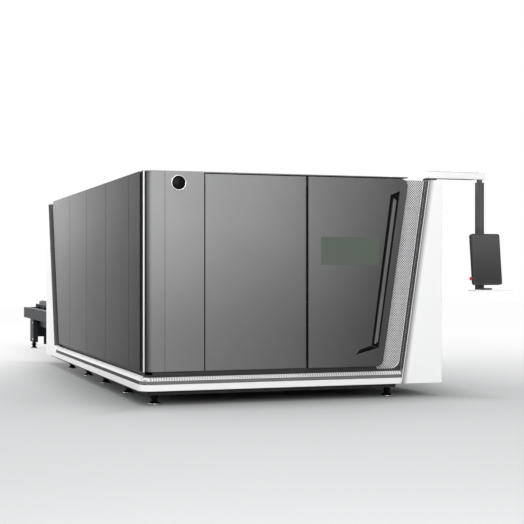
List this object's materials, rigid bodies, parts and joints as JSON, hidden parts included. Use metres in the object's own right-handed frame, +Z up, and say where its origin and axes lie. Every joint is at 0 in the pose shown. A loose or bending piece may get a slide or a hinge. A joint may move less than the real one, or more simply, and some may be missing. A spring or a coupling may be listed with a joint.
{
  "type": "fiber laser cutting machine",
  "caption": "Enclosed sheet-metal laser cutter with sliding door, swivel console and a two-level exchange table behind.",
  "frame": {"origin": "on the floor, under the middle of the whole machine's box", "axes": "+X to the right along the front with the door, +Y back along the cabin towards the exchange table, +Z up"},
  "size_m": [4.005, 10.64, 2.39],
  "materials": {
    "frame_dark": "matt black paint",
    "gloss_black": "gloss black",
    "light_strip": "pale diffuser",
    "machine_grey": "grey machine paint",
    "mesh": "perforated sheet, grey",
    "panel_dark": "satin dark grey paint",
    "pillar_white": "satin white paint",
    "red": "red moulding",
    "screen": "dark satin screen",
    "steel": "ground steel",
    "table_blue": "dark blue-grey paint",
    "window": "green-tinted laser-safe pane",
    "yellow": "yellow moulding"
  },
  "bodies": {
    "machine": {"badge": "gloss_black", "badge_panel": "panel_dark", "base_frame": "frame_dark", "bed_frame": "machine_grey", "cabin_frame": "frame_dark", "cabin_pallet_rails": "steel", "cabinet_case": "pillar_white", "console_socket": "frame_dark", "corner_light": "light_strip", "corner_panel": "panel_dark", "door_jamb": "frame_dark", "door_rail": "steel", "far_pillar": "pillar_white", "front_mesh_band": "mesh", "front_pillar": "pillar_white", "front_sill": "mesh", "fume_spigot": "steel", "laser_source": "machine_grey", "left_panels": "panel_dark", "left_sill": "pillar_white", "levelling_feet": "frame_dark", "lift_cylinders": "frame_dark", "middle_panel": "panel_dark", "rear_mesh_band": "mesh", "rear_pillar": "pillar_white", "rear_wall": "panel_dark", "right_panels": "panel_dark", "roof_panels": "panel_dark", "scrap_trays": "steel", "skirt": "pillar_white", "table_frame": "table_blue", "table_legs": "table_blue", "vent_strips": "mesh", "y_rails": "steel"},
    "front_door": {"door_leaf": "panel_dark", "door_window": "window", "door_handle": "steel", "door_hangers": "frame_dark"},
    "shutter": {"rear_shutter": "panel_dark"},
    "gantry": {"gantry_beam": "machine_grey", "gantry_motors": "frame_dark", "x_rails": "steel"},
    "cross_carriage": {"carriage": "machine_grey"},
    "head": {"cutting_head": "steel"},
    "lift": {"lift_frame": "table_blue"},
    "upper_table": {"upper_pallet": "table_blue", "upper_slats": "steel"},
    "lower_table": {"lower_pallet": "table_blue", "lower_slats": "steel"},
    "swivel_arm": {"console_arm": "pillar_white"},
    "console": {"console_post": "frame_dark", "keyboard_shelf": "pillar_white", "monitor_bracket": "frame_dark"},
    "monitor": {"monitor_housing": "gloss_black", "monitor_screen": "screen", "stop_button_base": "yellow"},
    "stop_button": {"stop_button": "red"},
    "cabinet_front_door": {"cabinet_door_front": "pillar_white"},
    "cabinet_rear_door": {"cabinet_door_rear": "pillar_white"}
  },
  "joints": [
    {"name": "front_door_slide", "type": "slide", "parent": "machine", "child": "front_door", "axis": [-1, 0, 0], "range_m": [0, 0.98]},
    {"name": "shutter_slide", "type": "slide", "parent": "machine", "child": "shutter", "axis": [0, 0, -1], "range_m": [0, 0.475]},
    {"name": "gantry_travel", "type": "slide", "parent": "machine", "child": "gantry", "axis": [0, 1, 0], "range_m": [0, 4.05]},
    {"name": "carriage_travel", "type": "slide", "parent": "gantry", "child": "cross_carriage", "axis": [1, 0, 0], "range_m": [0, 2]},
    {"name": "head_lift", "type": "slide", "parent": "cross_carriage", "child": "head", "axis": [0, 0, 1], "range_m": [-0.235, 0]},
    {"name": "table_lift", "type": "slide", "parent": "machine", "child": "lift", "axis": [0, 0, 1], "range_m": [0, 0.23]},
    {"name": "upper_pallet_travel", "type": "slide", "parent": "lift", "child": "upper_table", "axis": [0, -1, 0], "range_m": [0, 5.23]},
    {"name": "lower_pallet_travel", "type": "slide", "parent": "lift", "child": "lower_table", "axis": [0, -1, 0], "range_m": [0, 5.23]},
    {"name": "arm_swing", "type": "hinge", "parent": "machine", "child": "swivel_arm", "pos_m": [1.1925, -4.98, 2.302], "axis": [0, 0, 1], "range_deg": [-90, 60]},
    {"name": "console_turn", "type": "hinge", "parent": "swivel_arm", "child": "console", "pos_m": [1.7825, -4.98, 2.302], "axis": [0, 0, 1], "range_deg": [-60, 60]},
    {"name": "monitor_tilt", "type": "hinge", "parent": "console", "child": "monitor", "pos_m": [1.7825, -5.07, 1.44], "axis": [1, 0, 0], "range_deg": [-8, 8]},
    {"name": "stop_press", "type": "slide", "parent": "monitor", "child": "stop_button", "axis": [1, 0, 0], "range_m": [0, 0.005], "stiffness_N_per_m": 400},
    {"name": "cabinet_front_door_hinge", "type": "hinge", "parent": "machine", "child": "cabinet_front_door", "pos_m": [1.6431, -3.61, 1.05], "axis": [0, 0, -1], "range_deg": [0, 110]},
    {"name": "cabinet_rear_door_hinge", "type": "hinge", "parent": "machine", "child": "cabinet_rear_door", "pos_m": [1.6431, -2.19, 1.05], "axis": [0, 0, 1], "range_deg": [0, 110]}
  ]
}
